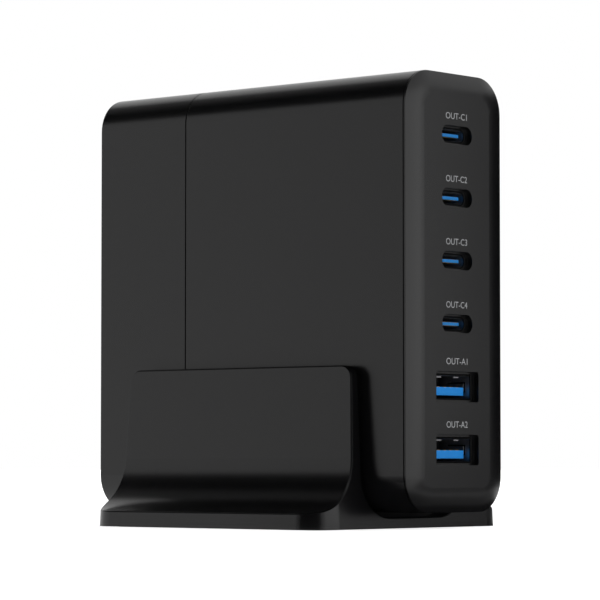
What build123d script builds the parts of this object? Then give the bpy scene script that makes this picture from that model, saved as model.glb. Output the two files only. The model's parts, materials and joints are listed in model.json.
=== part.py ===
from build123d import *
import os
from math import cos, radians, tan

# Six-socket desktop charger standing in a moulded cradle. Millimetres, +Z up, the sockets face -Y.
# The origin is under the middle of the charger, on the surface that the stand rests on.

# Charger housing
BODY_WIDTH = 35.1
BODY_HEIGHT = 100.0
BODY_DEPTH = 96.5  # crown of the front panel to the rear face
BODY_CORNER_R = 8.3
WALL = 2.2
REAR_WALL = 2.6
REAR_CAP_DEPTH = 28.3
REAR_EDGE = 0.5
SEAM = 0.35  # joint line between the sleeve and the rear cap
LIP_LENGTH = 3.0
LIP_THICKNESS = 1.0
FIT = 0.1  # clearance between moulded pieces that plug together

# Front panel
PANEL_CROWN = 1.1  # rise of the pillowed face above its rim
PANEL_CROWN_RUN = 5.6  # width of the rounded margin around the flat middle
PANEL_RIM = 0.35
PANEL_SEAM = 0.3
PANEL_PLATE = 2.8
PANEL_TAB_LENGTH = 3.5
PANEL_TAB_THICKNESS = 1.2
POST_WIDTH = 4.0
POST_OFFSET = 7.0

# Sockets, evenly spaced down the panel, type C above type A
SOCKET_PITCH = 14.34
TYPE_C_COUNT = 4
TYPE_A_COUNT = 2
SOCKET_RECESS = 1.4  # depth of the moulded recess around each socket mouth
SHELL_LENGTH = 10.4
SHELL_WALL = 0.3

# Type C socket
C_APERTURE_WIDTH = 11.15
C_APERTURE_HEIGHT = 4.2
C_SHELL_WIDTH = 8.94
C_SHELL_HEIGHT = 3.26
C_TONGUE_WIDTH = 6.69
C_TONGUE_THICKNESS = 0.7
C_TONGUE_SETBACK = 0.4  # tip of the tongue behind the shell mouth
C_TONGUE_TIP_R = 0.9
C_BASE = 2.2
C_BASE_HEIGHT = 2.4
C_CONTACTS_PER_SIDE = 8
C_CONTACT_PITCH = 0.74
C_CONTACT_WIDTH = 0.4

# Type A socket
A_APERTURE_WIDTH = 15.6
A_APERTURE_HEIGHT = 6.95
A_APERTURE_R = 0.7
A_SHELL_WIDTH = 13.1
A_SHELL_HEIGHT = 5.72
A_SHELL_R = 0.6
A_TONGUE_WIDTH = 11.1
A_TONGUE_THICKNESS = 1.84
A_TONGUE_CLEARANCE = 0.66  # tongue above the floor of the shell
A_TONGUE_SETBACK = 1.0
A_TONGUE_TIP_R = 0.6
A_BASE = 2.0
A_CONTACT_COUNT = 4
A_CONTACT_PITCH = 2.25
A_CONTACT_WIDTH = 1.0
CONTACT_THICKNESS = 0.08
CONTACT_TIP_GAP = 0.5
LEAF_WIDTH = 1.8
LEAF_LENGTH = 5.0
LEAF_DROP = 0.45  # how far a leaf spring leans into the socket
LEAF_SLOT = 0.3
LEAF_START = 1.6  # window of a leaf spring behind the shell mouth
LEAF_SPACING = 6.4

# Cradle stand
STAND_WIDTH = 68.0
STAND_LENGTH = 71.9
STAND_CORNER_R = 7.0
STAND_DRAFT = 2.6  # degrees, on every upright face
STAND_HEIGHT = 36.9
STAND_WALL = 2.3  # cradle wall at its top edge
STAND_FLOOR = 2.5
STAND_EDGE = 3.65  # height of the outer edge of the skirt
SKIRT_SLOPE = 10.0  # degrees, at the outer edge of the skirt
SKIRT_FLAT = 1.4  # straight margin of the skirt, outside the concave sweep that comes down from the wall
WALL_END_R = 3.0
SOFT_EDGE = 0.3
CRADLE_GAP = 1.15
LINER_SETBACK = 5.0
LINER_PLAY = 0.1
LINER_HEIGHT = 24.0
PAD_INSET = 4.0
PAD_CORNER_R = 4.0
PAD_PROUD = 0.15
PAD_RECESS = 0.7

# Boards and heat spreaders
BOARD = 1.6
BOARD_EDGE_GAP = 1.0
RAIL_DEPTH = 2.6
RAIL_THICKNESS = 1.2
RAIL_PLAY = 0.15
BOARD_REAR_GAP = 3.0
PORT_BOARD_SIDE_GAP = 1.6
PORT_BOARD_END_GAP = 4.0
SPREADER = 1.0
SPREADER_HEIGHT = 70.0
SPREADER_LENGTH = 64.0
SPREADER_START = 8.0
GAP_PAD_LEFT = 1.0
GAP_PAD_RIGHT = 2.0
BUCK_SIZE = 9.6
BUCK_HEIGHT = 5.0

# Parts on the main board; places are from the board's front edge and the middle of the body
LAYOUT_LENGTH = 77.0  # board that the places and lengths are laid out for; they stretch with the real one
LEAD = 0.8
CHIP_CHAMFER = 0.8
OUTPUT_CAP_COUNT = 4
OUTPUT_CAP_R = 4.0
OUTPUT_CAP_HEIGHT = 12.0
OUTPUT_CAP_PITCH = 10.5
OUTPUT_CAP_PLACE = 12.0
TRANSFORMER_LENGTH = 28.0
TRANSFORMER_WIDTH = 18.0
TRANSFORMER_PLACE = 32.0
PFC_LENGTH = 24.0
PFC_WIDTH = 14.0
PFC_PLACE = 60.0
YOKE = 4.0
CENTRE_LEG = 9.0
BOBBIN_WALL = 0.7
WINDING_CORNER = 0.5  # cut at the corners of a winding, as a share of its build
BULK_CAP_R = 8.0
BULK_CAP_LENGTH = 26.0
BULK_CAP_PLACE = 31.0
BULK_CAP_OFFSET = 27.0
CHOKE_LENGTH = 16.0
CHOKE_LEG = 4.5
CHOKE_BUILD = 2.6  # of the winding around each leg
CHOKE_COIL = 10.0
CHOKE_PLACE = 56.0
CHOKE_OFFSET = -27.0
X_CAP_LENGTH = 18.0
X_CAP_WIDTH = 9.0
X_CAP_HEIGHT = 15.0
X_CAP_PLACE = 58.0
X_CAP_OFFSET = 24.0
SINK_LENGTH = 20.0
SINK_HEIGHT = 20.0
SINK_THICKNESS = 1.5
SINK_OFFSET = 35.5
BRIDGE_LENGTH = 16.0
BRIDGE_HEIGHT = 14.0
BRIDGE_THICKNESS = 3.5
BRIDGE_LEG = 4.0
BRIDGE_LEGS = 4
BRIDGE_LEG_PITCH = 3.8
FUSE_LENGTH = 8.4
FUSE_WIDTH = 4.0
FUSE_HEIGHT = 8.0
FUSE_OFFSET = 15.5
VARISTOR_R = 5.0
VARISTOR_THICKNESS = 4.2
VARISTOR_OFFSET = -14.0
VARISTOR_LEG = 2.0

# Mains inlet on the rear face, with two round pins one above the other
INLET_OFFSET = -24.0  # below the middle of the body
INLET_PIN_SPACING = 8.6
INLET_PIN_R = 1.2
INLET_PIN_LENGTH = 9.0
INLET_PIN_CHAMFER = 0.7
INLET_SHANK = 1.6  # square shank of a pin, through the floor of the inlet
INLET_LOBE_R = 3.9
INLET_WAIST = 6.2
INLET_DEPTH = 11.0
INLET_SHELL = 1.3
INLET_FLANGE = 2.0
INLET_FLOOR = 2.5
INLET_TAIL = 1.0

# Heights and depths that the pieces share
UNDERSIDE_Z = PAD_PROUD
SLOT_FLOOR_Z = UNDERSIDE_Z + STAND_FLOOR
BODY_BOTTOM_Z = SLOT_FLOOR_Z + CRADLE_GAP
BODY_MID_Z = BODY_BOTTOM_Z + BODY_HEIGHT / 2
FACE_Y = -BODY_DEPTH / 2
RIM_Y = FACE_Y + PANEL_CROWN
SLEEVE_FRONT_Y = RIM_Y + PANEL_RIM + PANEL_SEAM
PLATE_BACK_Y = FACE_Y + PANEL_PLATE
REAR_Y = BODY_DEPTH / 2
CAP_FRONT_Y = REAR_Y - REAR_CAP_DEPTH
SLEEVE_BACK_Y = CAP_FRONT_Y - SEAM
SHELL_FRONT_Y = FACE_Y + SOCKET_RECESS
PORT_BOARD_Y = SHELL_FRONT_Y + SHELL_LENGTH
BOARD_FRONT_Y = PORT_BOARD_Y + BOARD
BOARD_BACK_Y = REAR_Y - REAR_WALL - BOARD_REAR_GAP
STRETCH = (BOARD_BACK_Y - BOARD_FRONT_Y) / LAYOUT_LENGTH
INSIDE_X = BODY_WIDTH / 2 - WALL
SPREADER_X = INSIDE_X - FIT - SPREADER
MAIN_BACK_X = SPREADER_X - GAP_PAD_RIGHT
MAIN_FACE_X = MAIN_BACK_X - BOARD
STACK = MAIN_FACE_X + SPREADER_X - GAP_PAD_LEFT  # room from the board to the left gap pad
INLET_Z = BODY_MID_Z + INLET_OFFSET


def along_y(section, y_from, y_to):
    """Extrude a section, drawn with X across and Z up, from y_from back to y_to."""
    return extrude(Plane.XZ.offset(-y_to) * section, amount=y_to - y_from)


def block(x_from, x_to, y_from, y_to, z_from, z_to):
    """A plain block between two values on each axis."""
    middle = Pos((x_from + x_to) / 2, (y_from + y_to) / 2, (z_from + z_to) / 2)
    return middle * Box(x_to - x_from, y_to - y_from, z_to - z_from)


def board_y(place):
    """A place along the main board, from its front edge."""
    return BOARD_FRONT_Y + place * STRETCH


def on_main_board(y_place, z_offset, length, width, height):
    """A block seated on the component side of the main board."""
    z_mid = BODY_MID_Z + z_offset
    return block(
        MAIN_FACE_X - height, MAIN_FACE_X,
        board_y(y_place - length / 2), board_y(y_place + length / 2),
        z_mid - width / 2, z_mid + width / 2,
    )


def end_edges(solid, end):
    """Edges of the front face (end 0) or the rear face (end -1) of a solid."""
    return solid.faces().sort_by(Axis.Y)[end].edges()


def body_section(inset):
    """Outline of the charger, moved in by inset (out if negative)."""
    outline = RectangleRounded(BODY_WIDTH - 2 * inset, BODY_HEIGHT - 2 * inset, BODY_CORNER_R - inset)
    return Pos(0, BODY_MID_Z) * outline


def socket_heights():
    """Heights of the sockets' centres, from the top one down."""
    count = TYPE_C_COUNT + TYPE_A_COUNT
    top = BODY_MID_Z + SOCKET_PITCH * (count - 1) / 2
    return [top - SOCKET_PITCH * index for index in range(count)]


def stand_section():
    """Outline of the stand seen from the front: two drafted walls that sweep out into a sloping skirt."""
    draft = tan(radians(STAND_DRAFT))
    slope = tan(radians(SKIRT_SLOPE))
    top_z = UNDERSIDE_Z + STAND_HEIGHT
    edge_z = UNDERSIDE_Z + STAND_EDGE
    half_top = BODY_WIDTH / 2 + CRADLE_GAP + STAND_WALL
    half_base = STAND_WIDTH / 2
    edge_x = half_base - STAND_EDGE * draft
    # the wall's outer face and the skirt meet at the root, which the sweep rounds as far as the flat margin
    root_x = (half_top + draft * (top_z - edge_z - slope * edge_x)) / (1 - draft * slope)
    root_z = edge_z + slope * (edge_x - root_x)
    side = [
        (half_base, UNDERSIDE_Z),
        (half_base, edge_z - slope * (half_base - edge_x)),
        (root_x, root_z),
        (half_top, top_z),
    ]
    mirrored = [(-x, z) for x, z in reversed(side)]
    outline = make_face(Polyline(*side, *mirrored, close=True))
    roots = [vertex for vertex in outline.vertices() if abs(vertex.Y - root_z) < SOFT_EDGE]
    turn = radians(90 - STAND_DRAFT - SKIRT_SLOPE)
    skirt_length = (edge_x - root_x) / cos(radians(SKIRT_SLOPE))
    return fillet(roots, (skirt_length - SKIRT_FLAT) / tan(turn / 2))


def make_stand():
    """The cradle: its section, trimmed by a drafted plan and cut out by the charger's own outline."""
    plan = Pos(0, 0, UNDERSIDE_Z) * RectangleRounded(STAND_WIDTH, STAND_LENGTH, STAND_CORNER_R)
    drafted = extrude(plan, amount=STAND_HEIGHT, taper=STAND_DRAFT)
    stand = drafted & along_y(stand_section(), -STAND_LENGTH, STAND_LENGTH)
    stand -= along_y(body_section(-CRADLE_GAP), -STAND_LENGTH, STAND_LENGTH)
    top_z = UNDERSIDE_Z + STAND_HEIGHT
    wall_ends = stand.edges().filter_by(Axis.X).filter_by_position(Axis.Z, top_z, top_z)
    stand = fillet(wall_ends, WALL_END_R)
    skirt_z = UNDERSIDE_Z + STAND_EDGE / 2
    upper_edges = [edge for edge in stand.edges() if edge.bounding_box().max.Z > skirt_z]
    stand = chamfer(upper_edges, SOFT_EDGE)
    return stand - pad_solid()


def pad_solid():
    """The sheet let into the underside of the stand, standing a little proud of it."""
    plan = RectangleRounded(STAND_WIDTH - 2 * PAD_INSET, STAND_LENGTH - 2 * PAD_INSET, PAD_CORNER_R)
    return extrude(plan, amount=PAD_PROUD + PAD_RECESS)


def make_liner():
    """The soft U that the charger stands in, between it and the cradle."""
    charger = RectangleRounded(BODY_WIDTH + 2 * LINER_PLAY, BODY_HEIGHT, BODY_CORNER_R)
    section = body_section(-CRADLE_GAP) - Pos(0, BODY_MID_Z) * charger
    half_length = STAND_LENGTH / 2 - LINER_SETBACK
    top_z = SLOT_FLOOR_Z + LINER_HEIGHT
    reach = block(-STAND_WIDTH, STAND_WIDTH, -STAND_LENGTH, STAND_LENGTH, 0, top_z)
    return along_y(section, -half_length, half_length) & reach


def make_sleeve():
    """The tube of the housing, with a lip for the rear cap and rails for the main board."""
    sleeve = along_y(body_section(0), SLEEVE_FRONT_Y, SLEEVE_BACK_Y)
    sleeve -= along_y(body_section(WALL), SLEEVE_FRONT_Y, SLEEVE_BACK_Y)
    lip = body_section(WALL - LIP_THICKNESS) - body_section(WALL)
    sleeve += along_y(lip, SLEEVE_BACK_Y - LIP_LENGTH, CAP_FRONT_Y + LIP_LENGTH)
    inner_bottom = BODY_BOTTOM_Z + WALL
    inner_top = BODY_BOTTOM_Z + BODY_HEIGHT - WALL
    rail_spans = [
        (MAIN_FACE_X - RAIL_PLAY - RAIL_THICKNESS, MAIN_FACE_X - RAIL_PLAY),
        (MAIN_BACK_X + RAIL_PLAY, MAIN_BACK_X + RAIL_PLAY + RAIL_THICKNESS),
    ]
    within_wall = along_y(body_section(WALL / 2), BOARD_FRONT_Y, SLEEVE_BACK_Y)
    for x_from, x_to in rail_spans:
        for z_from, z_to in [
            (inner_bottom - WALL, inner_bottom + RAIL_DEPTH),
            (inner_top - RAIL_DEPTH, inner_top + WALL),
        ]:
            sleeve += within_wall & block(x_from, x_to, BOARD_FRONT_Y, SLEEVE_BACK_Y, z_from, z_to)
    return sleeve


def make_rear_cap():
    """The cup that closes the sleeve, rebated for its lip and pierced for the mains inlet."""
    cap = along_y(body_section(0), CAP_FRONT_Y, REAR_Y)
    cap = chamfer(end_edges(cap, -1), REAR_EDGE)
    cap -= along_y(body_section(WALL), CAP_FRONT_Y, REAR_Y - REAR_WALL)
    rebate = body_section(WALL - LIP_THICKNESS - FIT)
    cap -= along_y(rebate, CAP_FRONT_Y, CAP_FRONT_Y + LIP_LENGTH + FIT)
    return cap - along_y(inlet_outline(FIT), REAR_Y - REAR_WALL, REAR_Y)


def crowned_front():
    """The pillowed face: a large soft edge, cut off at the charger's outline where it meets the rim."""
    radius = (PANEL_CROWN_RUN**2 + PANEL_CROWN**2) / (2 * PANEL_CROWN)
    spread = radius - PANEL_CROWN_RUN
    slab = along_y(body_section(-spread), FACE_Y, FACE_Y + 2 * radius)
    slab = fillet(end_edges(slab, 0), radius)
    return slab & along_y(body_section(0), FACE_Y, RIM_Y + PANEL_RIM)


def make_front_panel():
    """The pillowed panel, its plate and side tabs inside the sleeve, the socket openings and four posts."""
    panel = crowned_front()
    panel += along_y(body_section(WALL + FIT), RIM_Y, PLATE_BACK_Y)
    tab_x = INSIDE_X - FIT - PANEL_TAB_THICKNESS / 2
    tab = Rectangle(PANEL_TAB_THICKNESS, BODY_HEIGHT - 2 * BODY_CORNER_R)
    for side in (-1, 1):
        tab_place = Pos(side * tab_x, BODY_MID_Z)
        panel += along_y(tab_place * tab, PLATE_BACK_Y, PLATE_BACK_Y + PANEL_TAB_LENGTH)
        for end in (-1, 1):
            place = Pos(side * POST_OFFSET, BODY_MID_Z + end * 2 * SOCKET_PITCH)
            panel += along_y(place * Rectangle(POST_WIDTH, POST_WIDTH), PLATE_BACK_Y, PORT_BOARD_Y)
    for index, z_socket in enumerate(socket_heights()):
        if index < TYPE_C_COUNT:
            mouth = SlotOverall(C_APERTURE_WIDTH, C_APERTURE_HEIGHT)
            shell = SlotOverall(C_SHELL_WIDTH + 2 * FIT, C_SHELL_HEIGHT + 2 * FIT)
        else:
            mouth = RectangleRounded(A_APERTURE_WIDTH, A_APERTURE_HEIGHT, A_APERTURE_R)
            shell = Rectangle(A_SHELL_WIDTH + 2 * FIT, A_SHELL_HEIGHT + 2 * FIT)
        panel -= along_y(Pos(0, z_socket) * mouth, FACE_Y, SHELL_FRONT_Y)
        panel -= along_y(Pos(0, z_socket) * shell, SHELL_FRONT_Y, PLATE_BACK_Y)
    return panel


def tongue(width, thickness, tip_radius, tip_y, z_mid):
    """A socket's tongue, seen from above a strip with rounded corners at its tip."""
    back_y = PORT_BOARD_Y
    plan = Pos(0, (tip_y + back_y) / 2) * Rectangle(width, back_y - tip_y)
    plan = fillet(plan.vertices().sort_by(Axis.Y)[:2], tip_radius)
    return extrude(Pos(0, 0, z_mid - thickness / 2) * plan, amount=thickness)


def make_type_c(z_mid):
    """Shell, tongue with its base, and both rows of contacts of one type C socket."""
    inner_width = C_SHELL_WIDTH - 2 * SHELL_WALL
    inner_height = C_SHELL_HEIGHT - 2 * SHELL_WALL
    outer = Pos(0, z_mid) * SlotOverall(C_SHELL_WIDTH, C_SHELL_HEIGHT)
    inner = Pos(0, z_mid) * SlotOverall(inner_width, inner_height)
    shell = along_y(outer - inner, SHELL_FRONT_Y, PORT_BOARD_Y)
    base_y = PORT_BOARD_Y - C_BASE
    tip_y = SHELL_FRONT_Y + C_TONGUE_SETBACK
    insulator = tongue(C_TONGUE_WIDTH, C_TONGUE_THICKNESS, C_TONGUE_TIP_R, tip_y, z_mid)
    base = Rectangle(C_TONGUE_WIDTH, C_BASE_HEIGHT)
    insulator += along_y(Pos(0, z_mid) * base, base_y, PORT_BOARD_Y)
    contacts = []
    for side in (-1, 1):
        z_near = z_mid + side * C_TONGUE_THICKNESS / 2
        z_far = z_near + side * CONTACT_THICKNESS
        contacts += contact_row(
            C_CONTACTS_PER_SIDE, C_CONTACT_PITCH, C_CONTACT_WIDTH,
            tip_y + CONTACT_TIP_GAP, base_y, min(z_near, z_far), max(z_near, z_far),
        )
    return {"shell": shell, "tongue": insulator, "contacts": Compound(contacts)}


def contact_row(count, pitch, width, y_from, y_to, z_from, z_to):
    """A row of flat contacts lying on a tongue."""
    first = -pitch * (count - 1) / 2
    row = []
    for index in range(count):
        x_mid = first + pitch * index
        row += block(x_mid - width / 2, x_mid + width / 2, y_from, y_to, z_from, z_to).solids()
    return row


def make_type_a(z_mid):
    """Shell with leaf springs, tongue with its base, and the contacts of one type A socket."""
    inner_width = A_SHELL_WIDTH - 2 * SHELL_WALL
    inner_height = A_SHELL_HEIGHT - 2 * SHELL_WALL
    outer = Pos(0, z_mid) * RectangleRounded(A_SHELL_WIDTH, A_SHELL_HEIGHT, A_SHELL_R)
    inner = Pos(0, z_mid) * Rectangle(inner_width, inner_height)
    shell = along_y(outer - inner, SHELL_FRONT_Y, PORT_BOARD_Y)
    for angle, x_offset, wall_distance in [
        (0, -LEAF_SPACING / 2, A_SHELL_HEIGHT / 2),
        (0, LEAF_SPACING / 2, A_SHELL_HEIGHT / 2),
        (90, 0, A_SHELL_WIDTH / 2),
        (-90, 0, A_SHELL_WIDTH / 2),
    ]:
        window, leaf = leaf_spring(x_offset, wall_distance)
        turn = Pos(0, 0, z_mid) * Rot(0, angle, 0)
        shell = shell - turn * window + turn * leaf
    base_y = PORT_BOARD_Y - A_BASE
    tip_y = SHELL_FRONT_Y + A_TONGUE_SETBACK
    tongue_z = z_mid - inner_height / 2 + A_TONGUE_CLEARANCE + A_TONGUE_THICKNESS / 2
    insulator = tongue(A_TONGUE_WIDTH, A_TONGUE_THICKNESS, A_TONGUE_TIP_R, tip_y, tongue_z)
    base = Rectangle(A_TONGUE_WIDTH, inner_height - 2 * FIT)
    insulator += along_y(Pos(0, z_mid) * base, base_y, PORT_BOARD_Y)
    top_z = tongue_z + A_TONGUE_THICKNESS / 2
    contacts = contact_row(
        A_CONTACT_COUNT, A_CONTACT_PITCH, A_CONTACT_WIDTH,
        tip_y + CONTACT_TIP_GAP, base_y, top_z, top_z + CONTACT_THICKNESS,
    )
    return {"shell": shell, "tongue": insulator, "contacts": Compound(contacts)}


def leaf_spring(x_offset, wall_distance):
    """Window and bent leaf in the upper wall of a shell whose centre is at the origin."""
    front_y = SHELL_FRONT_Y + LEAF_START
    back_y = front_y + LEAF_LENGTH
    half = LEAF_WIDTH / 2
    window = block(
        x_offset - half - LEAF_SLOT, x_offset + half + LEAF_SLOT,
        front_y - LEAF_SLOT, back_y, wall_distance - SHELL_WALL, wall_distance,
    )
    profile = make_face(Polyline(
        (back_y, wall_distance),
        (back_y, wall_distance - SHELL_WALL),
        (front_y, wall_distance - SHELL_WALL - LEAF_DROP),
        (front_y, wall_distance - LEAF_DROP),
        close=True,
    ))
    leaf = extrude(Plane.YZ.offset(x_offset - half) * profile, amount=LEAF_WIDTH)
    return window, leaf


def make_port_board():
    """The board that carries the sockets, on the posts of the front panel."""
    width = 2 * (INSIDE_X - PORT_BOARD_SIDE_GAP)
    height = BODY_HEIGHT - 2 * (WALL + PORT_BOARD_END_GAP)
    return along_y(Pos(0, BODY_MID_Z) * Rectangle(width, height), PORT_BOARD_Y, BOARD_FRONT_Y)


def make_buck_inductor(z_mid):
    """A moulded power inductor on the back of the port board, behind its socket."""
    half = BUCK_SIZE / 2
    body = block(-half, half, BOARD_FRONT_Y, BOARD_FRONT_Y + BUCK_HEIGHT, z_mid - half, z_mid + half)
    return chamfer(body.edges().filter_by(Axis.Y), CHIP_CHAMFER)


def make_main_board():
    """The long board in the sleeve's rails; its front edge meets the port board."""
    return block(
        MAIN_FACE_X, MAIN_BACK_X, BOARD_FRONT_Y, BOARD_BACK_Y,
        BODY_BOTTOM_Z + WALL + BOARD_EDGE_GAP, BODY_BOTTOM_Z + BODY_HEIGHT - WALL - BOARD_EDGE_GAP,
    )


def wound_core(y_place, length, width):
    """A ferrite core with its legs square to the main board, its bobbin and its winding."""
    core = on_main_board(y_place, 0, length, width, STACK)
    window_length = (length - CENTRE_LEG) / 2 - YOKE
    for side in (-1, 1):
        window_y = y_place + side * (CENTRE_LEG + window_length) / 2
        core -= Pos(-YOKE, 0, 0) * on_main_board(window_y, 0, window_length, width, STACK - 2 * YOKE)
    tube_length = CENTRE_LEG + 2 * (BOBBIN_WALL + FIT)
    tube_width = width + 2 * (BOBBIN_WALL + FIT)
    bore = on_main_board(y_place, 0, CENTRE_LEG + 2 * FIT, width + 2 * FIT, STACK)
    height = STACK - 2 * YOKE - 2 * FIT
    lift = Pos(-YOKE - FIT, 0, 0)
    tube = lift * on_main_board(y_place, 0, tube_length, tube_width, height) - bore
    build = window_length - BOBBIN_WALL - 2 * FIT
    flange_length = tube_length + 2 * build
    flange_width = tube_width + 2 * build
    flange = lift * on_main_board(y_place, 0, flange_length, flange_width, BOBBIN_WALL) - bore
    far_flange = Pos(BOBBIN_WALL - height, 0, 0) * flange
    bobbin = tube + flange + far_flange
    for side in (-1, 1):
        foot_width = (flange_width - width) / 2 - FIT
        foot_offset = side * (width / 2 + FIT + foot_width / 2)
        bobbin += on_main_board(y_place, foot_offset, flange_length, foot_width, YOKE + FIT)
    winding = Pos(-YOKE - FIT - BOBBIN_WALL, 0, 0) * on_main_board(
        y_place, 0, flange_length, flange_width, height - 2 * BOBBIN_WALL
    )
    winding = chamfer(winding.edges().filter_by(Axis.X), build * WINDING_CORNER)
    winding -= on_main_board(y_place, 0, tube_length, tube_width, STACK)
    return {"core": core, "bobbin": bobbin, "winding": winding}


def can(radius, length):
    """A can capacitor standing on the origin along +Z."""
    return Cylinder(radius, length, align=(Align.CENTER, Align.CENTER, Align.MIN))


def make_output_capacitor(index):
    """One of a column of small cans, standing on the main board behind the port board."""
    z_mid = BODY_MID_Z + ((OUTPUT_CAP_COUNT - 1) / 2 - index) * OUTPUT_CAP_PITCH
    seat = Pos(MAIN_FACE_X, board_y(OUTPUT_CAP_PLACE), z_mid) * Rot(0, -90, 0)
    return seat * can(OUTPUT_CAP_R, OUTPUT_CAP_HEIGHT)


def make_bulk_capacitor(side):
    """A large can lying along the board, with two leads bent down to it at its front end."""
    z_mid = BODY_MID_Z + side * BULK_CAP_OFFSET
    start_y = board_y(BULK_CAP_PLACE - BULK_CAP_LENGTH / 2)
    x_mid = MAIN_FACE_X - BULK_CAP_R
    lying = Pos(x_mid, start_y, z_mid) * Rot(-90, 0, 0)
    capacitor = lying * can(BULK_CAP_R, BULK_CAP_LENGTH * STRETCH)
    for lead_z in (z_mid - BULK_CAP_R / 2, z_mid + BULK_CAP_R / 2):
        z_from = lead_z - LEAD / 2
        capacitor += block(x_mid, x_mid + LEAD, start_y - 2 * LEAD, start_y + LEAD, z_from, z_from + LEAD)
        capacitor += block(x_mid, MAIN_FACE_X, start_y - 3 * LEAD, start_y - 2 * LEAD, z_from, z_from + LEAD)
    return capacitor


def make_choke():
    """A square ferrite ring standing on the main board, with a coil on each of its two long legs."""
    height = CHOKE_COIL + 2 * CHOKE_LEG
    core = on_main_board(CHOKE_PLACE, CHOKE_OFFSET, CHOKE_LENGTH, CHOKE_LEG, height)
    window = CHOKE_LENGTH - 2 * CHOKE_LEG
    core -= Pos(-CHOKE_LEG, 0, 0) * on_main_board(CHOKE_PLACE, CHOKE_OFFSET, window, CHOKE_LEG, CHOKE_COIL)
    coils = []
    for side in (-1, 1):
        leg_place = CHOKE_PLACE + side * (CHOKE_LENGTH - CHOKE_LEG) / 2
        bore = on_main_board(leg_place, CHOKE_OFFSET, CHOKE_LEG + 2 * FIT, CHOKE_LEG + 2 * FIT, height)
        across = CHOKE_LEG + 2 * CHOKE_BUILD
        coil = on_main_board(leg_place, CHOKE_OFFSET, across, across, CHOKE_COIL - 2 * FIT)
        coils += (Pos(-CHOKE_LEG - FIT, 0, 0) * coil - bore).solids()
    return {"core": core, "windings": Compound(coils)}


def make_bridge():
    """The bridge rectifier, flat against its heat sink, on four legs."""
    z_mid = SINK_OFFSET - SINK_THICKNESS / 2 - BRIDGE_THICKNESS / 2
    bridge = on_main_board(X_CAP_PLACE, z_mid, BRIDGE_LENGTH, BRIDGE_THICKNESS, BRIDGE_HEIGHT)
    bridge = Pos(-BRIDGE_LEG, 0, 0) * chamfer(bridge.edges().sort_by(Axis.X)[0], CHIP_CHAMFER)
    for index in range(BRIDGE_LEGS):
        y_place = X_CAP_PLACE + (index - (BRIDGE_LEGS - 1) / 2) * BRIDGE_LEG_PITCH
        bridge += on_main_board(y_place, z_mid, LEAD, LEAD, BRIDGE_LEG)
    return bridge


def make_varistor():
    """A coated disc standing on two legs."""
    z_mid = BODY_MID_Z + VARISTOR_OFFSET
    y_mid = board_y(CHOKE_PLACE)
    x_mid = MAIN_FACE_X - VARISTOR_LEG - VARISTOR_R
    disc = Pos(x_mid, y_mid, z_mid) * Cylinder(VARISTOR_R, VARISTOR_THICKNESS)
    for side in (-1, 1):
        y_from = y_mid + side * VARISTOR_R / 2 - LEAD / 2
        disc += block(x_mid, MAIN_FACE_X, y_from, y_from + LEAD, z_mid - LEAD / 2, z_mid + LEAD / 2)
    return disc


def inlet_outline(grow):
    """Outer outline of the inlet's shroud: a stadium standing on end."""
    length = INLET_PIN_SPACING + 2 * (INLET_LOBE_R + INLET_SHELL + grow)
    return Pos(0, INLET_Z) * Rot(0, 0, 90) * SlotOverall(length, 2 * (INLET_LOBE_R + INLET_SHELL + grow))


def inlet_pin_heights():
    """Heights of the two mains pins."""
    return [INLET_Z - INLET_PIN_SPACING / 2, INLET_Z + INLET_PIN_SPACING / 2]


def make_inlet_body():
    """The moulded shroud, flush with the rear face, with a waisted well for the mains lead's plug."""
    back_y = REAR_Y - INLET_DEPTH - INLET_FLOOR
    body = along_y(inlet_outline(0), back_y, REAR_Y)
    shroud_r = INLET_LOBE_R + INLET_SHELL
    flange = Rectangle(2 * (shroud_r + INLET_FLANGE), INLET_PIN_SPACING + 2 * (shroud_r + INLET_FLANGE))
    body += along_y(Pos(0, INLET_Z) * flange, REAR_Y - REAR_WALL - INLET_FLANGE, REAR_Y - REAR_WALL)
    well = Pos(0, INLET_Z) * Rectangle(INLET_WAIST, INLET_PIN_SPACING)
    for z_pin in inlet_pin_heights():
        well += Pos(0, z_pin) * Circle(INLET_LOBE_R)
        body -= along_y(Pos(0, z_pin) * Rectangle(INLET_SHANK, INLET_SHANK), back_y, REAR_Y)
    return body - along_y(well, REAR_Y - INLET_DEPTH, REAR_Y)


def make_inlet_pins():
    """Two round pins with chamfered ends on square shanks; behind the inlet a tail goes to the main board."""
    floor_y = REAR_Y - INLET_DEPTH
    back_y = floor_y - INLET_FLOOR
    pins = []
    for z_pin in inlet_pin_heights():
        pin = along_y(Pos(0, z_pin) * Circle(INLET_PIN_R), floor_y, floor_y + INLET_PIN_LENGTH)
        pin = chamfer(pin.edges().sort_by(Axis.Y)[-1], INLET_PIN_CHAMFER)
        half = INLET_SHANK / 2
        shank = block(-half, half, back_y - INLET_TAIL, floor_y, z_pin - half, z_pin + half)
        tail = block(half, MAIN_FACE_X, back_y - INLET_TAIL, back_y, z_pin - half, z_pin + half)
        pins += (pin + shank + tail).solids()
    return Compound(pins)


def side_sheet(x_from, thickness, y_from, length, height):
    """A flat sheet parallel to the charger's broad sides."""
    return block(
        x_from, x_from + thickness, board_y(y_from), board_y(y_from + length),
        BODY_MID_Z - height / 2, BODY_MID_Z + height / 2,
    )


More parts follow.
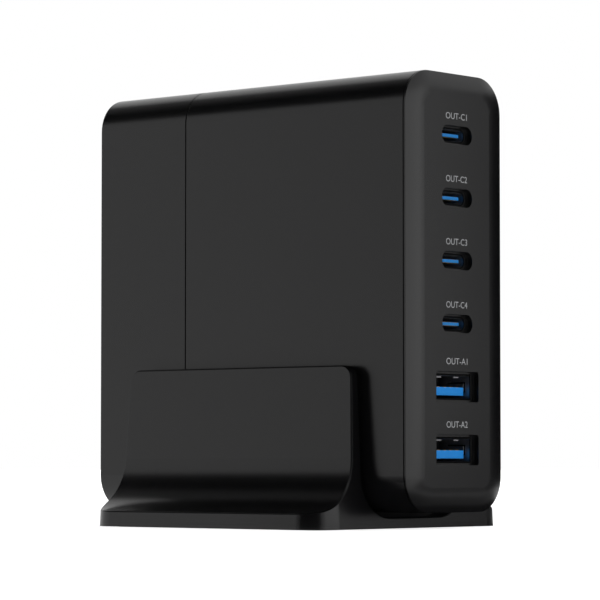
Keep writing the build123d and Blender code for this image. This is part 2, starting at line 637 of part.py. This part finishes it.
def make_nodes():
    """Every piece of the charger and its stand, by name."""
    nodes = {
        "stand": make_stand(),
        "anti_slip_pad": pad_solid(),
        "cradle_liner": make_liner(),
        "housing_sleeve": make_sleeve(),
        "rear_cap": make_rear_cap(),
        "front_panel": make_front_panel(),
        "port_board": make_port_board(),
        "main_board": make_main_board(),
        "inlet_body": make_inlet_body(),
        "inlet_pins": make_inlet_pins(),
        "bridge_rectifier": make_bridge(),
        "bridge_heat_sink": on_main_board(X_CAP_PLACE, SINK_OFFSET, SINK_LENGTH, SINK_THICKNESS, SINK_HEIGHT),
        "x_capacitor": on_main_board(X_CAP_PLACE, X_CAP_OFFSET, X_CAP_LENGTH, X_CAP_WIDTH, X_CAP_HEIGHT),
        "fuse": on_main_board(X_CAP_PLACE, FUSE_OFFSET, FUSE_LENGTH, FUSE_WIDTH, FUSE_HEIGHT),
        "varistor": make_varistor(),
        "bulk_capacitor_1": make_bulk_capacitor(1),
        "bulk_capacitor_2": make_bulk_capacitor(-1),
    }
    for index, z_socket in enumerate(socket_heights()):
        if index < TYPE_C_COUNT:
            prefix = f"type_c_socket_{index + 1}"
            pieces = make_type_c(z_socket)
            nodes[f"buck_inductor_{index + 1}"] = make_buck_inductor(z_socket)
        else:
            prefix = f"type_a_socket_{index - TYPE_C_COUNT + 1}"
            pieces = make_type_a(z_socket)
        for name, piece in pieces.items():
            nodes[f"{prefix}_{name}"] = piece
    for index in range(OUTPUT_CAP_COUNT):
        nodes[f"output_capacitor_{index + 1}"] = make_output_capacitor(index)
    for name, piece in make_choke().items():
        nodes[f"choke_{name}"] = piece
    for name, piece in wound_core(TRANSFORMER_PLACE, TRANSFORMER_LENGTH, TRANSFORMER_WIDTH).items():
        nodes[f"transformer_{name}"] = piece
    for name, piece in wound_core(PFC_PLACE, PFC_LENGTH, PFC_WIDTH).items():
        nodes[f"pfc_{name}"] = piece
    spreader = (SPREADER_START, SPREADER_LENGTH, SPREADER_HEIGHT)
    nodes["heat_spreader_right"] = side_sheet(SPREADER_X, SPREADER, *spreader)
    nodes["heat_spreader_left"] = side_sheet(-SPREADER_X - SPREADER, SPREADER, *spreader)
    nodes["gap_pad_right"] = side_sheet(MAIN_BACK_X, GAP_PAD_RIGHT, *spreader)
    pad_start = TRANSFORMER_PLACE - TRANSFORMER_LENGTH / 2
    pad_length = PFC_PLACE + PFC_LENGTH / 2 - pad_start
    nodes["gap_pad_left"] = side_sheet(-SPREADER_X, GAP_PAD_LEFT, pad_start, pad_length, TRANSFORMER_WIDTH)
    return nodes


os.makedirs("parts", exist_ok=True)
for node_name, solid in make_nodes().items():
    export_step(solid, f"parts/{node_name}.step")
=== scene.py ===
import json
import math

import bmesh
import bpy
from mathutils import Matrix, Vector

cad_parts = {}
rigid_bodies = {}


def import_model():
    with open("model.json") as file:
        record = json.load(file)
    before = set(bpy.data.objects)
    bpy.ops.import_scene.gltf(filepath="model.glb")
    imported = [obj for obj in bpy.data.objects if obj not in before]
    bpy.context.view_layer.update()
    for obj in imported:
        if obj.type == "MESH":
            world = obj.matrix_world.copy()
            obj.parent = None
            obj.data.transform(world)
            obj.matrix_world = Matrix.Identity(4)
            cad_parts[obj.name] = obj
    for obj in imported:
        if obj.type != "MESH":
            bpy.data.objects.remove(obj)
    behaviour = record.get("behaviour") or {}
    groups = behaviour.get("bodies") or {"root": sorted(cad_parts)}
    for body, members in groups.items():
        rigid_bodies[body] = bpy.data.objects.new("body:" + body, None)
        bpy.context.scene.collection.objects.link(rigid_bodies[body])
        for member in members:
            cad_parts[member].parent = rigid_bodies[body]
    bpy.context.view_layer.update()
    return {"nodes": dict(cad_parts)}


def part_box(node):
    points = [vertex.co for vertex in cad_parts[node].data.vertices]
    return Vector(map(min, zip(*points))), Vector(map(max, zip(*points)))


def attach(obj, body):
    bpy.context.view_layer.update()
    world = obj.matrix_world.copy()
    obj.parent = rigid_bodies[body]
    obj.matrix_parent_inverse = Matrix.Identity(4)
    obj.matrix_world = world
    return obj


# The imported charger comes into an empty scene. Its nodes are in metres, with the sockets facing -Y.
for leftover in list(bpy.data.objects):
    bpy.data.objects.remove(leftover)
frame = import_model()
scene = bpy.context.scene
scene.view_settings.view_transform = "Standard"

# The camera stands low in front and to the left, with a long lens, as the photograph was taken.
# Its place, bearing and lens were solved from the charger's own straight edges.
CAMERA_PLACE = (-0.55732, -0.48174, 0.01585)
CAMERA_BEARING = math.radians(49.218)  # from +Y towards +X
CAMERA_PITCH = math.radians(2.937)
CAMERA_LENS_MM = 186.35
CAMERA_SENSOR_MM = 36.0
camera_data = bpy.data.cameras.new("camera")
camera_data.sensor_width = CAMERA_SENSOR_MM
camera_data.lens = CAMERA_LENS_MM
camera = bpy.data.objects.new("camera", camera_data)
scene.collection.objects.link(camera)
camera.location = CAMERA_PLACE
sight = Vector((
    math.sin(CAMERA_BEARING) * math.cos(CAMERA_PITCH),
    math.cos(CAMERA_BEARING) * math.cos(CAMERA_PITCH),
    math.sin(CAMERA_PITCH),
))
camera.rotation_mode = "QUATERNION"
camera.rotation_quaternion = sight.to_track_quat("-Z", "Y")
scene.camera = camera

# The two circuit boards are glass-fibre laminate under a green solder mask. The port board stands
# behind the front panel and carries the sockets; the main board runs back along the right-hand side.


def linear(code):
    """An sRGB hex colour as linear red, green, blue and alpha."""
    parts = [int(code[place:place + 2], 16) / 255 for place in (1, 3, 5)]
    return [c / 12.92 if c <= 0.04045 else ((c + 0.055) / 1.055) ** 2.4 for c in parts] + [1.0]


def add(tree, kind, values=None, links=None, **properties):
    """Adds a node with its properties, the values of its sockets, and what is linked into them."""
    node = tree.nodes.new(kind)
    for name, value in properties.items():
        setattr(node, name, value)
    for name, value in (values or {}).items():
        node.inputs[name].default_value = value
    for name, source in (links or {}).items():
        tree.links.new(source, node.inputs[name])
    return node


def per_metre(size_mm):
    """How often a pattern of that size comes in a metre, which is the scale of a texture."""
    return 1000.0 / size_mm


def start_material(name):
    """A new material's tree, emptied, and the place on the piece that its patterns follow."""
    material = bpy.data.materials.new(name)
    material.use_nodes = True
    tree = material.node_tree
    tree.nodes.clear()
    place = add(tree, "ShaderNodeTexCoord").outputs["Object"]
    return material, tree, place


def mottled(tree, place, patch_mm, low, high):
    """A colour that drifts between two others in patches of that size."""
    patches = add(
        tree, "ShaderNodeTexNoise", {"Scale": per_metre(patch_mm), "Detail": 3.0}, {"Vector": place},
    )
    return add(
        tree, "ShaderNodeMix", {"A": linear(low), "B": linear(high)}, {"Factor": patches.outputs["Fac"]},
        data_type="RGBA",
    )


def dress(material, *names):
    """Puts a material on CAD nodes."""
    for name in names:
        slots = frame["nodes"][name].data.materials
        slots.clear()
        slots.append(material)


# Solder-masked fibreglass: smooth and semi-gloss, with the weave of the glass just showing through.
WEAVE_MM = 0.6
WEAVE_DEPTH_MM = 0.02
MASK_PATCH_MM = 9.0
board_finish, tree, place = start_material("solder_masked_fibreglass")
weave = add(tree, "ShaderNodeTexChecker", {"Scale": per_metre(WEAVE_MM)}, {"Vector": place})
tint = mottled(tree, place, MASK_PATCH_MM, "#0B3A24", "#12492E")
bump = add(
    tree, "ShaderNodeBump", {"Strength": 0.4, "Distance": WEAVE_DEPTH_MM / 1000},
    {"Height": weave.outputs["Fac"]},
)
skin = add(
    tree, "ShaderNodeBsdfPrincipled", {"Roughness": 0.38, "IOR": 1.52},
    {"Base Color": tint.outputs["Result"], "Normal": bump.outputs["Normal"]},
)
add(tree, "ShaderNodeOutputMaterial", links={"Surface": skin.outputs["BSDF"]})
dress(board_finish, "port_board", "main_board")

# The parts on the boards are the ones that every such charger has: ferrite cores with copper windings,
# can and film capacitors, a fuse, a varistor and a bridge rectifier. Nothing of them is seen from outside.


def coat(tree, place, colour, roughness, grain_mm, grain_depth_mm, metallic, ior):
    """Ends a material's tree with that colour, over a grain of that size and depth."""
    grain = add(
        tree, "ShaderNodeTexNoise", {"Scale": per_metre(grain_mm), "Detail": 2.0}, {"Vector": place},
    )
    relief = add(
        tree, "ShaderNodeBump", {"Strength": 1.0, "Distance": grain_depth_mm / 1000},
        {"Height": grain.outputs["Fac"]},
    )
    shader = add(
        tree, "ShaderNodeBsdfPrincipled", {"Roughness": roughness, "Metallic": metallic, "IOR": ior},
        {"Base Color": colour.outputs["Result"], "Normal": relief.outputs["Normal"]},
    )
    add(tree, "ShaderNodeOutputMaterial", links={"Surface": shader.outputs["BSDF"]})


def finish(name, low, high, patch_mm, roughness, grain_mm, grain_depth_mm, metallic=0.0, ior=1.5):
    """A material whose colour drifts between two others, over a grain of that size and depth."""
    material, tree, place = start_material(name)
    colour = mottled(tree, place, patch_mm, low, high)
    coat(tree, place, colour, roughness, grain_mm, grain_depth_mm, metallic, ior)
    return material


# Sintered ferrite: ground ceramic, charcoal grey, with a dull stony sheen.
dress(
    finish(
        "sintered_ferrite", "#2A2A2C", "#38383A",
        patch_mm=2.5, roughness=0.55, grain_mm=0.4, grain_depth_mm=0.02,
    ),
    "transformer_core", "pfc_core", "choke_core",
    *[f"buck_inductor_{number}" for number in range(1, 5)],
)
# Phenolic bobbins: compression moulded, black-brown and slightly glossy.
dress(
    finish(
        "moulded_phenolic", "#17110E", "#211914",
        patch_mm=4.0, roughness=0.42, grain_mm=0.5, grain_depth_mm=0.01, ior=1.6,
    ),
    "transformer_bobbin", "pfc_bobbin",
)
# Enamelled copper wire: round turns side by side, so a ribbed, warm metal with a lacquer gloss.
dress(
    finish(
        "enamelled_copper_wire", "#8A3F1E", "#B0602F",
        patch_mm=1.2, roughness=0.3, grain_mm=0.5, grain_depth_mm=0.15, metallic=1.0,
    ),
    "transformer_winding", "pfc_winding", "choke_windings",
)
# Capacitor cans: drawn aluminium in a shrunk vinyl sleeve, dark and evenly glossy.
dress(
    finish(
        "shrunk_vinyl_sleeve", "#1C1E26", "#242733",
        patch_mm=6.0, roughness=0.32, grain_mm=1.5, grain_depth_mm=0.02,
    ),
    "bulk_capacitor_1", "bulk_capacitor_2",
    *[f"output_capacitor_{number}" for number in range(1, 5)],
)
# Film capacitor case: moulded polyester resin, matt yellow.
dress(
    finish(
        "moulded_polyester_case", "#B89A2C", "#C8AA3A",
        patch_mm=5.0, roughness=0.5, grain_mm=0.4, grain_depth_mm=0.01,
    ),
    "x_capacitor",
)
# Epoxy packages: transfer moulded, black and fine-grained.
dress(
    finish(
        "moulded_epoxy", "#141416", "#1C1C1F",
        patch_mm=2.0, roughness=0.48, grain_mm=0.25, grain_depth_mm=0.008, ior=1.55,
    ),
    "bridge_rectifier", "fuse",
)
# Varistor coating: dipped epoxy powder, blue, with a slightly uneven skin.
dress(
    finish(
        "dipped_epoxy", "#1F4E96", "#285CAB",
        patch_mm=3.0, roughness=0.4, grain_mm=1.8, grain_depth_mm=0.08, ior=1.55,
    ),
    "varistor",
)
# Heat sink and spreaders: rolled aluminium sheet, mill finish, softly reflective.
dress(
    finish(
        "rolled_aluminium", "#A9ABAE", "#B9BBBE",
        patch_mm=8.0, roughness=0.36, grain_mm=0.3, grain_depth_mm=0.004, metallic=1.0,
    ),
    "bridge_heat_sink", "heat_spreader_left", "heat_spreader_right",
)
# Gap pads: filled silicone, cast in sheets, matt and a little grainy.
dress(
    finish(
        "filled_silicone_sheet", "#8E8C93", "#9C9AA2",
        patch_mm=3.0, roughness=0.8, grain_mm=0.35, grain_depth_mm=0.02, ior=1.41,
    ),
    "gap_pad_left", "gap_pad_right",
)

# Each socket is a folded steel shell around a moulded tongue with its contacts. The four type C
# sockets are above the two type A ones, and all six are soldered to the port board.
TYPE_C = [f"type_c_socket_{number}" for number in range(1, 5)]
TYPE_A = [f"type_a_socket_{number}" for number in range(1, 3)]
SOCKETS = TYPE_C + TYPE_A


def banded(name, front, behind, change_y, roughness, grain_mm, grain_depth_mm, metallic=0.0, ior=1.5):
    """A material of two mottled colours, with the change at that depth behind the panel."""
    patch_mm = 1.5
    change_mm = 0.1
    material, tree, place = start_material(name)
    colours = [mottled(tree, place, patch_mm, *pair).outputs["Result"] for pair in (front, behind)]
    depth = add(tree, "ShaderNodeSeparateXYZ", links={"Vector": place})
    past = add(
        tree, "ShaderNodeMapRange", {"From Min": change_y, "From Max": change_y + change_mm / 1000},
        {"Value": depth.outputs["Y"]},
    )
    colour = add(
        tree, "ShaderNodeMix", links={"Factor": past.outputs["Result"], "A": colours[0], "B": colours[1]},
        data_type="RGBA",
    )
    coat(tree, place, colour, roughness, grain_mm, grain_depth_mm, metallic, ior)
    return material


# Nickel on steel: plated after stamping, a grey metal with soft reflections. For its first tenth of a
# millimetre at the mouth the shell is drawn near black, so no bright ring shows there.
MOUTH_EDGE = 0.0001
mouth_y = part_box("type_a_socket_1_shell")[0].y
dress(
    banded(
        "nickel_on_stamped_steel", ("#0B0B0C", "#101011"), ("#9A9A9D", "#A6A6A9"), mouth_y + MOUTH_EDGE,
        roughness=0.45, grain_mm=0.2, grain_depth_mm=0.003, metallic=1.0,
    ),
    *[f"{name}_shell" for name in SOCKETS],
)
# Type A tongues: polyester moulded in two shots, an even satin blue in front and a black base behind.
TONGUE_BASE = 0.0023
BASE_BLACK = ("#0C0C0D", "#111112")
base_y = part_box("type_a_socket_1_tongue")[1].y - TONGUE_BASE
dress(
    banded(
        "moulded_two_shot_polyester", ("#0077C6", "#0580CF"), BASE_BLACK, base_y,
        roughness=0.55, grain_mm=0.15, grain_depth_mm=0.004, ior=1.34,
    ),
    *[f"{name}_tongue" for name in TYPE_A],
)
# Type C tongues: liquid crystal polymer, thin, and a deeper blue over the same black base.
dress(
    banded(
        "moulded_liquid_crystal_polymer", ("#086DB2", "#0D75BA"), BASE_BLACK, base_y,
        roughness=0.55, grain_mm=0.15, grain_depth_mm=0.004, ior=1.34,
    ),
    *[f"{name}_tongue" for name in TYPE_C],
)
# Contacts: flash gold on phosphor bronze, stamped, small and bright.
dress(
    finish(
        "flash_gold_on_bronze", "#D3A94E", "#E0B962",
        patch_mm=0.8, roughness=0.25, grain_mm=0.15, grain_depth_mm=0.002, metallic=1.0,
    ),
    *[f"{name}_contacts" for name in SOCKETS],
)

# The housing is three mouldings of one black polycarbonate blend: the pillowed front panel, the sleeve
# that it plugs into, and the rear cap. All were moulded in tools with a fine eroded texture.


def eroded_plastic(name, low, high, roughness, ior):
    """Plastic moulded in an eroded tool: satin, with a grain that softens what it reflects."""
    patch_mm = 14.0
    # the real grain is near 0.1 mm, and it is drawn at 0.45 mm so that it shows at all
    grain_mm = 0.45
    grain_depth_mm = 0.004
    # where hands hold it the satin is a little smoother
    worn_mm = 22.0
    worn_spread = 0.03
    edge_mm = 0.1
    material, tree, place = start_material(name)
    colour = mottled(tree, place, patch_mm, low, high)
    grain = add(
        tree, "ShaderNodeTexNoise", {"Scale": per_metre(grain_mm), "Detail": 3.0}, {"Vector": place},
    )
    worn = add(
        tree, "ShaderNodeTexNoise", {"Scale": per_metre(worn_mm), "Detail": 4.0}, {"Vector": place},
    )
    satin = add(
        tree, "ShaderNodeMapRange", {"To Min": roughness - worn_spread, "To Max": roughness + worn_spread},
        {"Value": worn.outputs["Fac"]},
    )
    soft_edge = add(tree, "ShaderNodeBevel", {"Radius": edge_mm / 1000}, samples=6)
    relief = add(
        tree, "ShaderNodeBump", {"Strength": 1.0, "Distance": grain_depth_mm / 1000},
        {"Height": grain.outputs["Fac"], "Normal": soft_edge.outputs["Normal"]},
    )
    shader = add(
        tree, "ShaderNodeBsdfPrincipled", {"IOR": ior},
        {
            "Base Color": colour.outputs["Result"],
            "Roughness": satin.outputs["Result"],
            "Normal": relief.outputs["Normal"],
        },
    )
    add(tree, "ShaderNodeOutputMaterial", links={"Surface": shader.outputs["BSDF"]})
    return material


# Polycarbonate blend: nearly black, so what the eye sees of it is its satin reflection.
housing_finish = eroded_plastic("eroded_polycarbonate", "#0A0A0B", "#0D0D0E", roughness=0.25, ior=1.385)
dress(housing_finish, "front_panel", "housing_sleeve", "rear_cap")

# Above each socket the panel has its mark, pad printed in light grey: output, then the kind and number
# of the socket. The ink is a few hundredths of a millimetre thick.
MARK_HEIGHT = 0.00145
MARK_WIDTH = 0.00775
MARK_LEFT = 0.00025
MARK_INK = 0.00002
MARK_ABOVE_C = 0.00428
MARK_ABOVE_A = 0.00578
# Pad-printing ink: matt, with the slight unevenness of the silicone pad.
ink = finish(
    "pad_printed_ink", "#88898B", "#949597",
    patch_mm=0.6, roughness=0.6, grain_mm=0.3, grain_depth_mm=0.002,
)
face_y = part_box("front_panel")[0].y
for socket in SOCKETS:
    kind, above = ("C", MARK_ABOVE_C) if socket in TYPE_C else ("A", MARK_ABOVE_A)
    letters = bpy.data.curves.new("letters", "FONT")
    letters.body = f"OUT-{kind}{socket[-1]}"
    letters.extrude = 0.5  # any depth, because the letters are scaled to the mark's own size below
    writing = bpy.data.objects.new("writing", letters)
    scene.collection.objects.link(writing)
    bpy.context.view_layer.update()
    mesh = bpy.data.meshes.new_from_object(writing)
    bpy.data.objects.remove(writing)
    low = [min(vertex.co[axis] for vertex in mesh.vertices) for axis in range(3)]
    high = [max(vertex.co[axis] for vertex in mesh.vertices) for axis in range(3)]
    shell_low, shell_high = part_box(f"{socket}_shell")
    mark_z = (shell_low.z + shell_high.z) / 2 + above
    for vertex in mesh.vertices:
        across, up, through = [(vertex.co[axis] - low[axis]) / (high[axis] - low[axis]) for axis in range(3)]
        vertex.co = (
            (across - 0.5) * MARK_WIDTH - MARK_LEFT,
            face_y - through * MARK_INK,
            mark_z + (up - 0.5) * MARK_HEIGHT,
        )
    mark = bpy.data.objects.new(f"{socket}_mark", mesh)
    scene.collection.objects.link(mark)
    mesh.materials.clear()
    mesh.materials.append(ink)
    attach(mark, "root")

# The mains inlet is a separate moulding that plugs into the rear cap. Two round pins stand in its well,
# one above the other, and go through its floor on square shanks.
# Polyamide: moulded, black and a little duller than the housing.
dress(
    finish(
        "moulded_polyamide", "#0C0C0D", "#111112",
        patch_mm=6.0, roughness=0.42, grain_mm=0.5, grain_depth_mm=0.01, ior=1.53,
    ),
    "inlet_body",
)
# Pins: turned brass, nickel plated, with fine turning marks.
dress(
    finish(
        "nickel_on_turned_brass", "#B5B2AA", "#C2BFB7",
        patch_mm=1.5, roughness=0.22, grain_mm=0.2, grain_depth_mm=0.003, metallic=1.0,
    ),
    "inlet_pins",
)

# The stand is one drafted moulding that flares out into a skirt. The charger lifts out of it: a soft
# liner lies between the two, and a soft foot is let into the underside.
# ABS: the same black as the housing, from a tool with the same eroded texture.
stand_finish = eroded_plastic("eroded_abs", "#0A0A0B", "#0D0D0E", roughness=0.25, ior=1.385)
dress(stand_finish, "stand")
# Silicone: moulded, matt and very dark.
dress(
    finish(
        "moulded_silicone", "#0E0E0F", "#151516",
        patch_mm=3.0, roughness=0.7, grain_mm=0.4, grain_depth_mm=0.015, ior=1.41,
    ),
    "anti_slip_pad", "cradle_liner",
)

# The studio has a white surround, a white floor and one soft lamp in front. Black cards overhead, on the
# left and on the right keep the white off the plastic, and sheets on the floor are seen only in what the
# plastic mirrors;
# the ones under and in front of the charger are painted shadow. None of it is the part.


def card(name, corners, material, seen_by_camera=False, mirrored_only=False):
    """A flat sheet of the studio between its corner points."""
    sheet = bmesh.new()
    sheet.faces.new([sheet.verts.new(corner) for corner in corners])
    mesh = bpy.data.meshes.new(name)
    sheet.to_mesh(mesh)
    sheet.free()
    mesh.materials.append(material)
    piece = bpy.data.objects.new(name, mesh)
    scene.collection.objects.link(piece)
    piece.visible_camera = seen_by_camera
    piece.visible_diffuse = not mirrored_only
    piece.visible_shadow = not mirrored_only
    piece.visible_transmission = not mirrored_only


def bearing(degrees, distance, height=0.0):
    """A point of the studio, by its bearing from the front of the charger towards its right."""
    angle = math.radians(degrees)
    return (distance * math.sin(angle), -distance * math.cos(angle), height)


# Painted white floor, lit evenly: it glows a little below white, and its paint takes the shadow.
FLOOR_REACH = 4.0
PAINT_PATCH_MM = 60.0
floor_finish, tree, place = start_material("white_floor_paint")
paint = mottled(tree, place, PAINT_PATCH_MM, "#E4E4E4", "#EAEAEA")
matt = add(tree, "ShaderNodeBsdfDiffuse", links={"Color": paint.outputs["Result"]})
glow = add(tree, "ShaderNodeEmission", {"Strength": 0.86})
both = add(tree, "ShaderNodeAddShader")
tree.links.new(matt.outputs["BSDF"], both.inputs[0])
tree.links.new(glow.outputs["Emission"], both.inputs[1])
add(tree, "ShaderNodeOutputMaterial", links={"Surface": both.outputs["Shader"]})
floor_finish.cycles.emission_sampling = "NONE"
card(
    "floor", [bearing(turn, FLOOR_REACH) for turn in range(0, 360, 15)], floor_finish,
    seen_by_camera=True,
)


def cloth(name, low, high):
    """A matt cloth for the studio's cards."""
    pile_mm = 2.0
    material, tree, place = start_material(name)
    pile = mottled(tree, place, pile_mm, low, high)
    dull = add(tree, "ShaderNodeBsdfDiffuse", links={"Color": pile.outputs["Result"]})
    add(tree, "ShaderNodeOutputMaterial", links={"Surface": dull.outputs["BSDF"]})
    return material


# Grey felt: matt, about half as light as the floor. Laid in front of the charger it is painted shade, the
# paler edge of its shadow.
painted_shade_felt = cloth("painted_shade_felt", "#B4B4B4", "#BCBCBC")
# Charcoal felt: matt, and much darker than the grey.
charcoal_felt = cloth("charcoal_felt", "#5C5C5C", "#646464")
# Black flock: it gives back almost no light.
black_flock = cloth("black_flock", "#050505", "#0A0A0A")

# The overhead card's rim, by bearing and reach. It turns in to an opening at the back right, and a
# charcoal sheet just above it covers the part of the opening that lies straight behind.
OVERHEAD_Z = 1.3
OVERHEAD_REACH = 2.7
OPENING_REACH = 0.2
OPENING_RIGHT = 112
OPENING_LEFT = 196
SHEET_RIGHT = 167
SHEET_ABOVE = 0.01
rim = [
    (OPENING_LEFT, OVERHEAD_REACH), (-130, OVERHEAD_REACH), (-100, 2.6), (-70, 2.2), (-45, 1.6),
    (-20, 1.05), (15, 0.9), (50, 0.9), (85, 1.1), (110, 1.3), (OPENING_RIGHT, OPENING_REACH),
    (146, OPENING_REACH), (168, OPENING_REACH), (OPENING_LEFT, OPENING_REACH),
]
card("overhead_card", [bearing(turn, reach, OVERHEAD_Z) for turn, reach in rim], black_flock)
sheet_rim = [
    (SHEET_RIGHT, OPENING_REACH), (SHEET_RIGHT, OVERHEAD_REACH),
    (OPENING_LEFT, OVERHEAD_REACH), (OPENING_LEFT, OPENING_REACH),
]
card(
    "back_card", [bearing(turn, reach, OVERHEAD_Z + SHEET_ABOVE) for turn, reach in sheet_rim],
    charcoal_felt, mirrored_only=True,
)

# The black cards on the right and the left stand on the floor, each between two bearings.
RIGHT_REACH = 0.5
RIGHT_NEAR = 49
RIGHT_FAR = 112
RIGHT_HEIGHT = 0.22
LEFT_REACH = 0.9
LEFT_FAR = -114
LEFT_NEAR = -31
LEFT_HEIGHT = 0.8
for name, reach, start, end, height in [
    ("right_card", RIGHT_REACH, RIGHT_NEAR, RIGHT_FAR, RIGHT_HEIGHT),
    ("left_card", LEFT_REACH, LEFT_FAR, LEFT_NEAR, LEFT_HEIGHT),
]:
    card(
        name,
        [
            bearing(start, reach), bearing(end, reach),
            bearing(end, reach, height), bearing(start, reach, height),
        ],
        black_flock,
    )

# The sheets on the floor: black under the charger and out to both cards, and a grey strip in front. The
# black sheet under the charger is painted shadow and the grey strip is painted shade at the paler edge of
# that shadow.
LOW = 0.0001
UNDER_LEFT = -0.03
UNDER_RIGHT = 0.05
UNDER_BACK = 0.046
UNDER_FRONT = -0.056
STRIP_RIGHT = 0.07
STRIP_FRONT = -0.08
NEAR_START = 0.0
NEAR_END = 0.075
NEAR_FRONT = -0.092
LEFT_START = 0.06
# Painted shadow: a black sheet under the charger, seen only in reflections, where the charger's shadow
# falls.
card(
    "painted_shadow_sheet",
    [
        (UNDER_LEFT, UNDER_BACK, LOW), (UNDER_LEFT, UNDER_FRONT, LOW),
        (UNDER_RIGHT, UNDER_FRONT, LOW), (UNDER_RIGHT, UNDER_BACK, LOW),
    ],
    black_flock, mirrored_only=True,
)
# Painted shade: a grey strip in front of the charger, seen only in reflections, for the paler edge of its
# shadow.
card(
    "painted_shade_strip",
    [
        (UNDER_LEFT, UNDER_FRONT, LOW), (UNDER_LEFT, STRIP_FRONT, LOW),
        (STRIP_RIGHT, STRIP_FRONT, LOW), (STRIP_RIGHT, UNDER_FRONT, LOW),
    ],
    painted_shade_felt, mirrored_only=True,
)
card(
    "low_right_card",
    [
        (NEAR_START, NEAR_FRONT, LOW), bearing(36, RIGHT_REACH, LOW), bearing(75, RIGHT_REACH, LOW),
        bearing(RIGHT_FAR, RIGHT_REACH, LOW), (NEAR_END, NEAR_FRONT, LOW),
    ],
    black_flock, mirrored_only=True,
)
card(
    "low_left_card",
    [
        bearing(-100, LEFT_START, LOW), bearing(-106, LEFT_REACH, LOW),
        bearing(LEFT_NEAR, LEFT_REACH, LOW), bearing(LEFT_NEAR, LEFT_START, LOW),
    ],
    black_flock, mirrored_only=True,
)

# The lamp is a wide soft box in front of the sockets, turned towards the middle of the charger.
LAMP_WIDTH = 0.9
LAMP_HEIGHT = 0.36
LAMP_WATTS = 0.92
LAMP_PLACE = bearing(12, 0.8, 0.18)
LAMP_AIM = Vector((0.0, 0.0, 0.05))
lamp_data = bpy.data.lights.new("front_lamp", "AREA")
lamp_data.shape = "RECTANGLE"
lamp_data.size = LAMP_WIDTH
lamp_data.size_y = LAMP_HEIGHT
lamp_data.energy = LAMP_WATTS
lamp = bpy.data.objects.new("front_lamp", lamp_data)
scene.collection.objects.link(lamp)
lamp.location = LAMP_PLACE
lamp.rotation_mode = "QUATERNION"
lamp.rotation_quaternion = (LAMP_AIM - lamp.location).to_track_quat("-Z", "Y")

# The surround is plain white paper on all sides, lit evenly.
surround = bpy.data.worlds.new("white_surround")
scene.world = surround
surround.use_nodes = True
surround.node_tree.nodes.clear()
white = add(surround.node_tree, "ShaderNodeBackground", {"Color": linear("#FFFFFF"), "Strength": 1.0})
add(surround.node_tree, "ShaderNodeOutputWorld", links={"Surface": white.outputs["Background"]})
